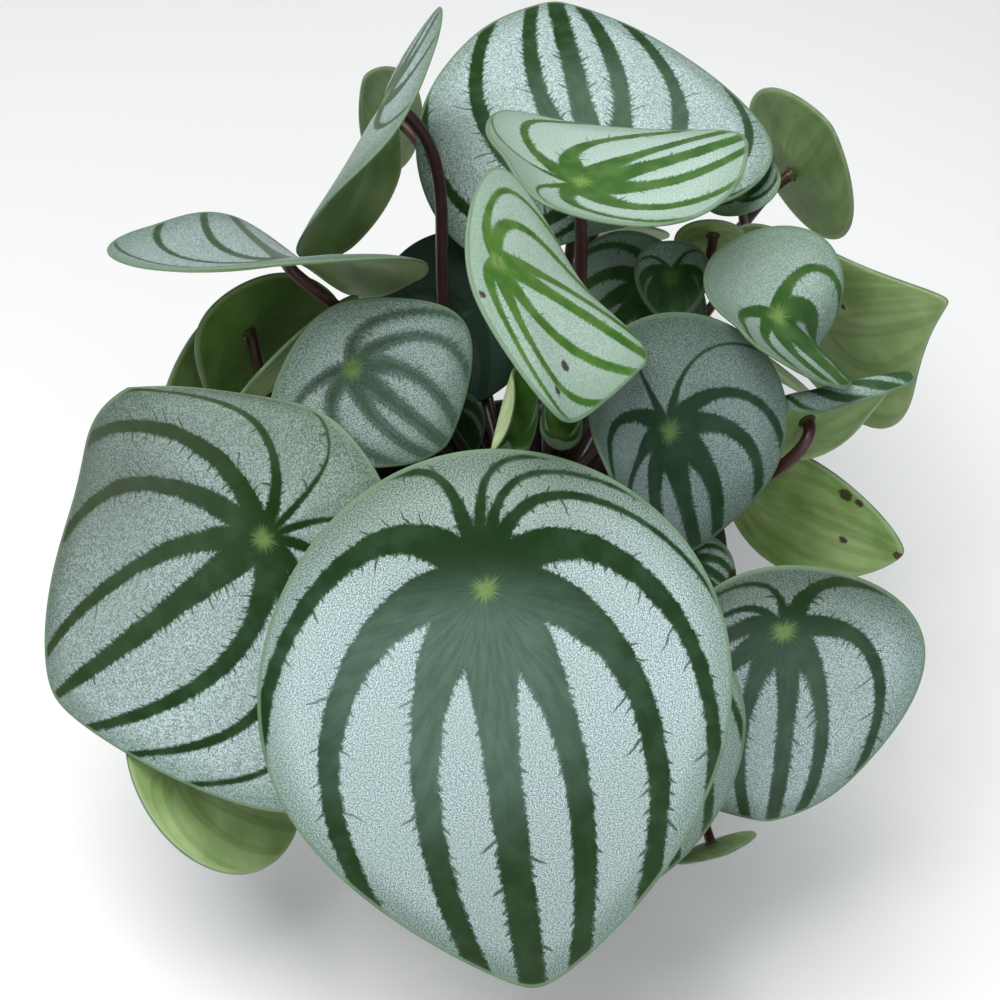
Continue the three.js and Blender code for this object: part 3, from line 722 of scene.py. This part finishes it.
# -------------------- materials
class Nodes:
    """Short calls for the node types that the materials use."""

    def __init__(self, name):
        self.material = bpy.data.materials.new(name)
        self.material.use_nodes = True
        self.tree = self.material.node_tree
        self.shader = self.tree.nodes["Principled BSDF"]

    def add(self, kind, inputs=(), **settings):
        node = self.tree.nodes.new(kind)
        for key, value in settings.items():
            setattr(node, key, value)
        for key, value in dict(inputs).items():
            self.put(node.inputs[key], value)
        return node

    def put(self, socket, value):
        if isinstance(value, bpy.types.NodeSocket):
            self.tree.links.new(value, socket)
        else:
            socket.default_value = (*value, 1.0) if socket.type == "RGBA" else value

    def attribute(self, name):
        return self.split(self.vector(name))

    def vector(self, name):
        return self.add("ShaderNodeAttribute", attribute_name=name).outputs["Vector"]

    def position(self):
        return self.add("ShaderNodeNewGeometry").outputs["Position"]

    def split(self, vector):
        return self.add("ShaderNodeSeparateXYZ", {0: vector}).outputs

    def joined(self, x, y, z=0.0):
        return self.add("ShaderNodeCombineXYZ", {0: x, 1: y, 2: z}).outputs[0]

    def math(self, operation, a, b=0.0, c=0.0, clamp=False):
        node = self.add("ShaderNodeMath", {0: a, 1: b, 2: c}, operation=operation, use_clamp=clamp)
        return node.outputs[0]

    def times(self, a, b):
        return self.math("MULTIPLY", a, b)

    def ramp(self, value, low, high, to_low=0.0, to_high=1.0):
        """A smooth step from to_low to to_high as value goes from low to high."""
        inputs = {"Value": value, "From Min": low, "From Max": high, "To Min": to_low, "To Max": to_high}
        node = self.add("ShaderNodeMapRange", inputs, interpolation_type="SMOOTHSTEP")
        return node.outputs["Result"]

    def noise(self, vector, scale, detail=2.0, roughness=0.5):
        inputs = {"Vector": vector, "Scale": scale, "Detail": detail, "Roughness": roughness}
        return self.add("ShaderNodeTexNoise", inputs).outputs["Fac"]

    def sway(self, value, noise, by):
        """value, moved up or down by a noise that goes from 0 to 1."""
        return self.math("MULTIPLY_ADD", self.math("SUBTRACT", noise, 0.5), by, value)

    def mix(self, factor, a, b):
        node = self.add("ShaderNodeMix", data_type="RGBA")
        self.put(node.inputs["Factor"], factor)
        self.put(node.inputs[6], a)
        self.put(node.inputs[7], b)
        return node.outputs[2]

    def scaled(self, vector, by):
        return self.add("ShaderNodeVectorMath", {0: vector, 1: by}, operation="MULTIPLY").outputs[0]

    def apart(self, a, b):
        return self.add("ShaderNodeVectorMath", {0: a, 1: b}, operation="DISTANCE").outputs["Value"]

    def bump(self, height, distance, strength):
        """A normal from a height; the distance is in metres."""
        inputs = {"Height": height, "Distance": distance, "Strength": strength}
        return self.add("ShaderNodeBump", inputs).outputs["Normal"]

    def finish(self, colour, roughness, normal=None, specular=0.5):
        self.put(self.shader.inputs["Base Color"], colour)
        self.put(self.shader.inputs["Roughness"], roughness)
        if normal is not None:
            self.put(self.shader.inputs["Normal"], normal)
        self.shader.inputs["Specular IOR Level"].default_value = specular
        return self.material


# the upper surface; a pair goes from the darker to the lighter patches
BAND = ((0.006, 0.030, 0.004), (0.018, 0.052, 0.020))
# the bands under painted shadow
BAND_IN_PAINTED_SHADOW = (0.045, 0.058, 0.03)
BAND_HEART = (0.004, 0.024, 0.001)
# painted sheen, the sky's reflection on the bands
BAND_PAINTED_SHEEN = (0.10, 0.165, 0.130)
BAND_FRESH = ((0.045, 0.14, 0.015), (0.085, 0.2, 0.03))
SILVER = ((0.17, 0.25, 0.23), (0.62, 0.74, 0.77))
SILVER_CLOUD = (0.33, 0.45, 0.40)
SILVER_FRESH = (0.37, 0.52, 0.38)
# dull silver, partly the blade's own tone and partly painted shade
SILVER_DULL_AND_SHADE = (0.06, 0.10, 0.08)
SILVER_BASE_TINT = (0.50, 0.52, 0.42)
SILVER_RIM_TINT = (0.50, 0.57, 0.50)
# the silver under painted shadow
SILVER_PAINTED_SHADOW_TINT = (0.30, 0.31, 0.25)
RIM_GREEN = (0.15, 0.23, 0.14)
NAVEL_GREEN = (0.20, 0.32, 0.09)
# the near-black green of painted shade
SHADE_GREEN = (0.01, 0.03, 0.018)
SPOT_BROWN = (0.035, 0.018, 0.008)
# the underside
UNDER_PALE = ((0.16, 0.29, 0.06), (0.40, 0.55, 0.22))
UNDER_OLIVE = ((0.045, 0.125, 0.010), (0.13, 0.24, 0.035))
UNDER_WHITISH = (0.60, 0.70, 0.42)
UNDER_VEIN = (0.07, 0.13, 0.02)
UNDER_GRAIN = (0.42, 0.5, 0.3)
UNDER_RIM = (0.36, 0.45, 0.24)
# the underside's painted shade
UNDER_SHADE = (0.02, 0.04, 0.01)
# the other pieces
STALK_RED = ((0.022, 0.006, 0.006), (0.075, 0.018, 0.016))
STALK_GREEN = (0.09, 0.07, 0.03)
STALK_NAVEL = (0.12, 0.14, 0.04)
# painted shade towards the stalks' roots
STALK_PAINTED_SHADE = (0.010, 0.006, 0.004)
CROWN_BARK = ((0.035, 0.016, 0.012), (0.13, 0.075, 0.04))
MIX = ((0.012, 0.008, 0.005), (0.06, 0.038, 0.022))
CRUMBS = ((0.016, 0.01, 0.007), (0.085, 0.055, 0.032))
PERLITE = ((0.45, 0.43, 0.4), (0.75, 0.74, 0.72))
POT_PLASTIC = ((0.028, 0.029, 0.031), (0.06, 0.06, 0.06))
FLOOR = ((0.93, 0.93, 0.93), (0.95, 0.95, 0.95))

SPURS_PER_UNIT = 6.0  # side veins along a band for each unit of its place
SPUR_LEAST = 0.03  # the shortest side vein's length, and how much longer others may be
SPUR_MORE = 0.16
SPUR_LONG = 0.3  # and the few that are much longer
SPUR_LONG_FROM = 0.95
SPUR_SLOPE = 0.42  # how much broader a side vein is for the share of it that is left
FRAY_REACH = 1.9  # mm that each noise moves a band's edge
COMB_REACH = 1.5
DRIFT_REACH = 1.3
SPOT_REACH = 2.2
EDGE_SOFTNESS = 0.32  # mm, and more where a silver veil covers the band
BLUR_SOFTNESS = 3.0
# where the painted sheen on the bands is centred
PAINTED_SHEEN_CENTRE = (20.0, -9.0, 0.0)
LEAF_BUMP = 0.00012


def upper_material():
    n = Nodes("leaf_upper")
    coarse, place, number = n.attribute("vein")
    # near one vein alone, its centre line gives a sharper distance than the mesh points do
    centre, half, alike = n.attribute("line")
    sharper = n.math("SUBTRACT", n.math("SUBTRACT", n.math("ABSOLUTE", centre), half), coarse)
    distance = n.math("MULTIPLY_ADD", sharper, n.math("GREATER_THAN", alike, 0.999), coarse)
    flat = n.vector("flat")
    flat_x, flat_y, leaf_seed = n.split(flat)
    radius, rim, unit = n.attribute("reach")
    # tone's middle part is the blade's painted shade
    young, shade, silver = n.attribute("tone")
    blur, _, fringe = n.attribute("tone2")
    # tone3 holds the painted sheen, the side veins' length and the painted shadow
    mist, spurs, dusk = n.attribute("tone3")

    grain = n.noise(flat, 3.2, roughness=0.7)
    fray = n.noise(flat, 1.7, detail=4, roughness=0.8)
    drift = n.noise(flat, 0.2)
    cloud = n.noise(flat, 0.05)

    # side veins leave each band at seeded places, lean towards the tip and thin out
    wiggle = n.math("MULTIPLY_ADD", drift, 0.7, n.times(place, SPURS_PER_UNIT))
    cell = n.math("FLOOR", wiggle)
    seeds = n.add("ShaderNodeTexWhiteNoise", {"Vector": n.joined(cell, number, leaf_seed)})
    first, second, third = n.split(seeds.outputs["Color"])
    off = n.math("SUBTRACT", n.math("SUBTRACT", wiggle, cell), n.math("MULTIPLY_ADD", first, 0.5, 0.25))
    off = n.times(n.math("ABSOLUTE", off), n.math("DIVIDE", unit, SPURS_PER_UNIT))
    reach = n.math("MULTIPLY_ADD", n.math("POWER", second, 2), SPUR_MORE, SPUR_LEAST)
    reach = n.math("ADD", reach, n.times(n.math("GREATER_THAN", third, SPUR_LONG_FROM), SPUR_LONG))
    reach = n.times(n.times(reach, unit), n.times(spurs, fringe))
    left = n.math("SUBTRACT", 1, n.math("DIVIDE", distance, reach))
    spur = n.math("SUBTRACT", n.math("MULTIPLY_ADD", left, SPUR_SLOPE, 0.02), off)
    spur = n.times(n.ramp(spur, -0.14, 0.14), n.ramp(left, 0, 0.5))

    # the bands, with frayed edges
    comb = n.noise(n.joined(n.times(place, 14), number, n.times(distance, 0.35)), 1)
    frayed = n.times(n.math("SUBTRACT", fray, 0.5), FRAY_REACH)
    frayed = n.sway(frayed, comb, COMB_REACH)
    frayed = n.sway(frayed, drift, DRIFT_REACH)
    edge = n.math("MULTIPLY_ADD", frayed, fringe, distance)
    softness = n.math("MULTIPLY_ADD", blur, BLUR_SOFTNESS, EDGE_SOFTNESS)
    band = n.ramp(edge, softness, n.times(softness, -1))
    band = n.math("MAXIMUM", band, n.times(spur, 0.85))
    band = n.times(band, n.math("MULTIPLY_ADD", blur, -0.3, 1))

    # band green: darkest from the navel to the base, lightened in rays below the navel by a painted sheen,
    # the sky's reflection, and brighter when young
    sheen_mask = n.times(n.ramp(n.apart(n.joined(flat_x, flat_y), PAINTED_SHEEN_CENTRE), 42, 14),
                    n.ramp(flat_x, -12, 9))
    bearing = n.math("ARCTAN2", flat_y, flat_x)
    rays = n.noise(n.joined(n.times(bearing, 16), n.times(radius, 0.12)), 1, detail=3, roughness=0.6)
    sheen_mask = n.times(sheen_mask, n.ramp(rays, 0.3, 0.7, 0.65, 1))
    sheen_mask = n.times(sheen_mask, n.ramp(grain, 0.3, 0.7, 0.75, 1))
    dark = n.mix(n.ramp(drift, 0.35, 0.7), *BAND)
    # painted shadow on the bands
    dark = n.mix(n.times(dusk, 0.8), dark, BAND_IN_PAINTED_SHADOW)
    heart = n.times(n.ramp(radius, 24, 6), n.ramp(flat_x, 2, -6))
    dark = n.mix(heart, dark, BAND_HEART)
    green = n.mix(n.times(sheen_mask, mist), dark, BAND_PAINTED_SHEEN)
    green = n.mix(young, green, n.mix(n.ramp(drift, 0.35, 0.7), *BAND_FRESH))

    # silver: a fine bright grain over grey-green, duller by the base and the rim, and darker under the
    # painted shadow
    pale = n.mix(n.ramp(grain, 0.40, 0.62), *SILVER)
    pale = n.mix(n.ramp(cloud, 0.35, 0.7, 0, 0.25), pale, SILVER_CLOUD)
    pale = n.mix(n.ramp(flat_x, 6, -24, 0, 0.8), pale, n.scaled(pale, SILVER_BASE_TINT))
    pale = n.mix(n.ramp(rim, 9, 0.5, 0, 0.8), pale, n.scaled(pale, SILVER_RIM_TINT))
    # painted shadow on the silver
    pale = n.mix(dusk, pale, n.scaled(pale, SILVER_PAINTED_SHADOW_TINT))
    pale = n.mix(n.times(young, 0.65), pale, SILVER_FRESH)
    # silver below 1 dulls towards dark grey-green: partly the blade's own tone, partly painted shade
    pale = n.mix(n.math("SUBTRACT", 1, silver, clamp=True), pale, SILVER_DULL_AND_SHADE)

    colour = n.mix(band, pale, green)
    colour = n.mix(n.ramp(rim, 0.7, 0.2, 0, 0.8), colour, RIM_GREEN)
    colour = n.mix(n.ramp(n.sway(radius, rays, -9), 3.2, 0.4, 0, 0.75), colour, NAVEL_GREEN)
    # painted shade: the whole blade darkened towards near-black green
    colour = n.mix(n.math("MULTIPLY", shade, 0.6, clamp=True), colour, SHADE_GREEN)
    colour = spotted(n, colour, flat_x, flat_y, fray)
    height = n.math("MULTIPLY_ADD", grain, 0.6, n.times(band, -0.4))
    return n.finish(colour, n.ramp(band, 0, 1, 0.5, 0.4), n.bump(height, LEAF_BUMP, 0.55), specular=0.16)


def spotted(n, colour, flat_x, flat_y, fray):
    """Ragged brown spots over a blade's colour, at the places that the blade's mesh holds."""
    for k in range(MOST_SPOTS):
        x, y, size = n.attribute(f"spot{k}")
        inside = n.math("SUBTRACT", size, n.apart(n.joined(flat_x, flat_y), n.joined(x, y)))
        inside = n.ramp(n.sway(inside, fray, SPOT_REACH), -0.1, 0.35)
        inside = n.times(inside, n.math("GREATER_THAN", size, 0.01))
        colour = n.mix(n.times(inside, 0.92), colour, SPOT_BROWN)
    return colour


def under_material():
    n = Nodes("leaf_under")
    distance = n.attribute("vein")[0]
    flat = n.vector("flat")
    flat_x, flat_y, _ = n.split(flat)
    rim = n.attribute("reach")[1]
    shade = n.attribute("tone")[1]
    under = n.attribute("tone2")[1]
    cloud = n.noise(flat, 0.06, detail=3)
    fray = n.noise(flat, 1.5, detail=3, roughness=0.75)
    grain = n.noise(flat, 2.2)
    patches = n.ramp(cloud, 0.3, 0.7)
    colour = n.mix(n.math("MAXIMUM", under, 0), n.mix(patches, *UNDER_PALE), n.mix(patches, *UNDER_OLIVE))
    colour = n.mix(n.math("MULTIPLY", under, -1, clamp=True), colour, UNDER_WHITISH)
    vein = n.times(n.ramp(distance, 0.6, -0.6), n.ramp(distance, -3, -0.6))
    colour = n.mix(n.times(vein, 0.25), colour, UNDER_VEIN)
    colour = n.mix(n.ramp(grain, 0.45, 0.75, 0, 0.15), colour, UNDER_GRAIN)
    colour = n.mix(n.ramp(rim, 1.2, 0.4, 0, 0.5), colour, UNDER_RIM)
    # painted shade: the whole underside darkened towards near-black
    colour = n.mix(n.math("MULTIPLY", shade, 0.6, clamp=True), colour, UNDER_SHADE)
    colour = spotted(n, colour, flat_x, flat_y, fray)
    normal = n.bump(n.math("ADD", n.times(grain, 0.4), vein), LEAF_BUMP, 0.5)
    return n.finish(colour, n.ramp(cloud, 0, 1, 0.45, 0.55), normal, specular=0.3)


def stalk_material():
    """Streaked dark red, greener in patches and by the blade; painted shade darkens it nearly black towards
    the root.
    """
    n = Nodes("stalk")
    place = n.position()
    share = n.attribute("along")[0]
    streak = n.noise(n.scaled(place, (1, 1, 0.25)), 900, detail=3)
    patch = n.noise(place, 120)
    colour = n.mix(streak, *STALK_RED)
    colour = n.mix(n.times(n.ramp(patch, 0.5, 0.8), 0.5), colour, STALK_GREEN)
    colour = n.mix(n.ramp(share, 0.95, 1, 0, 0.5), colour, STALK_NAVEL)
    # painted shade: nearly black towards the root
    colour = n.mix(n.ramp(share, 0.75, 0.2, 0, 0.85), colour, STALK_PAINTED_SHADE)
    return n.finish(colour, n.ramp(patch, 0.2, 0.8, 0.32, 0.45), n.bump(streak, 0.0002, 0.3))


def crown_material():
    n = Nodes("crown")
    bark = n.noise(n.position(), 420, detail=6, roughness=0.65)
    return n.finish(n.mix(bark, *CROWN_BARK), 0.7, n.bump(bark, 0.001, 0.7))


def soil_material(name, colours, scale):
    n = Nodes(name)
    place = n.position()
    clump = n.noise(place, scale, detail=8, roughness=0.7)
    fibre = n.noise(n.scaled(place, (0.3, 1, 1)), scale * 3, detail=4)
    colour = n.mix(n.ramp(clump, 0.35, 0.7), *colours)
    colour = n.mix(n.ramp(fibre, 0.62, 0.75, 0, 0.5), colour, colours[1])
    return n.finish(colour, 0.92, n.bump(clump, 0.0012, 0.8))


def pot_material():
    n = Nodes("pot_plastic")
    place = n.position()
    fine = n.noise(place, 1800, detail=3)
    scuff = n.noise(n.scaled(place, (1, 1, 0.2)), 140, detail=5, roughness=0.7)
    colour = n.mix(n.ramp(scuff, 0.5, 0.85), *POT_PLASTIC)
    return n.finish(colour, n.ramp(scuff, 0.3, 0.8, 0.38, 0.55), n.bump(fine, 0.00015, 0.35))


def floor_material():
    n = Nodes("floor")
    cloud = n.noise(n.position(), 6, detail=3)
    return n.finish(n.mix(cloud, *FLOOR), 0.85)


# -------------------- camera, floor and light
VIEW_ELEVATION = 50
VIEW_DISTANCE = 450
VIEW_ANGLE = 30
VIEW_TARGET = (-7.2, 11.1, 91.3)
LIGHT_TARGET = (0, 0, 110)
SKY = (0.92, 0.96, 1.0)
SKY_STRENGTH = 0.36
FLOOR_REACH = 3.0  # metres, to each side


def area_light(name, place, size, power, colour):
    light = bpy.data.lights.new(name, "AREA")
    light.size = size
    light.energy = power
    light.color = colour
    obj = bpy.data.objects.new(name, light)
    obj.location = Vector(place) * MM
    direction = (Vector(LIGHT_TARGET) - Vector(place)).normalized()
    obj.rotation_euler = direction.to_track_quat("-Z", "Y").to_euler()
    bpy.context.collection.objects.link(obj)


def build_stage():
    elevation = math.radians(VIEW_ELEVATION)
    camera = bpy.data.cameras.new("camera")
    camera.angle = math.radians(VIEW_ANGLE)
    camera.clip_start = 0.01
    obj = bpy.data.objects.new("camera", camera)
    back = Vector((0, -math.cos(elevation), math.sin(elevation)))
    obj.location = (Vector(VIEW_TARGET) + back * VIEW_DISTANCE) * MM
    obj.rotation_euler = (math.pi / 2 - elevation, 0, 0)
    bpy.context.collection.objects.link(obj)
    bpy.context.scene.camera = obj

    far = FLOOR_REACH
    floor = new_object("floor", [(-far, -far, 0), (far, -far, 0), (far, far, 0), (-far, far, 0)],
                       [(0, 1, 2, 3)])
    floor.data.materials.append(floor_material())

    world = bpy.data.worlds.new("studio")
    bpy.context.scene.world = world
    world.use_nodes = True
    background = world.node_tree.nodes["Background"]
    background.inputs["Color"].default_value = (*SKY, 1.0)
    background.inputs["Strength"].default_value = SKY_STRENGTH
    area_light("key", place=(-150, -60, 800), size=0.45, power=5.6, colour=(1.0, 0.99, 0.97))
    area_light("front_fill", place=(350, -700, 500), size=0.7, power=2.2, colour=(0.95, 0.97, 1.0))
    bpy.context.scene.view_settings.view_transform = "Standard"


# -------------------- assembly
def dress(obj, node, slot, *materials):
    for material in materials:
        obj.data.materials.append(material)
    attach(obj, "root")
    if node:
        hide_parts(node)


leaves = [Leaf(fields) for fields in LEAVES]
leaf_upper = upper_material()
leaf_under = under_material()
for index, leaf in enumerate(leaves):
    dress(build_blade(leaf, index), f"leaf_{leaf.name}", "leaf", leaf_upper, leaf_under)
dress(build_stalks(leaves), "crown_and_stalks", "stalk", stalk_material())
dress(build_crown(), None, "stalk", crown_material())
dress(build_pot(), "pot", "pot", pot_material())
dress(build_soil(), "soil", "soil", soil_material("mix", MIX, 260.0))
dress(build_crumbs("soil_crumbs", SOIL_CRUMBS, (0.8, 2.2), 21), None, "soil",
      soil_material("crumbs", CRUMBS, 500.0))
dress(build_crumbs("perlite", PERLITE_GRAINS, (0.7, 1.5), 22), None, "soil",
      soil_material("perlite", PERLITE, 700.0))
build_stage()
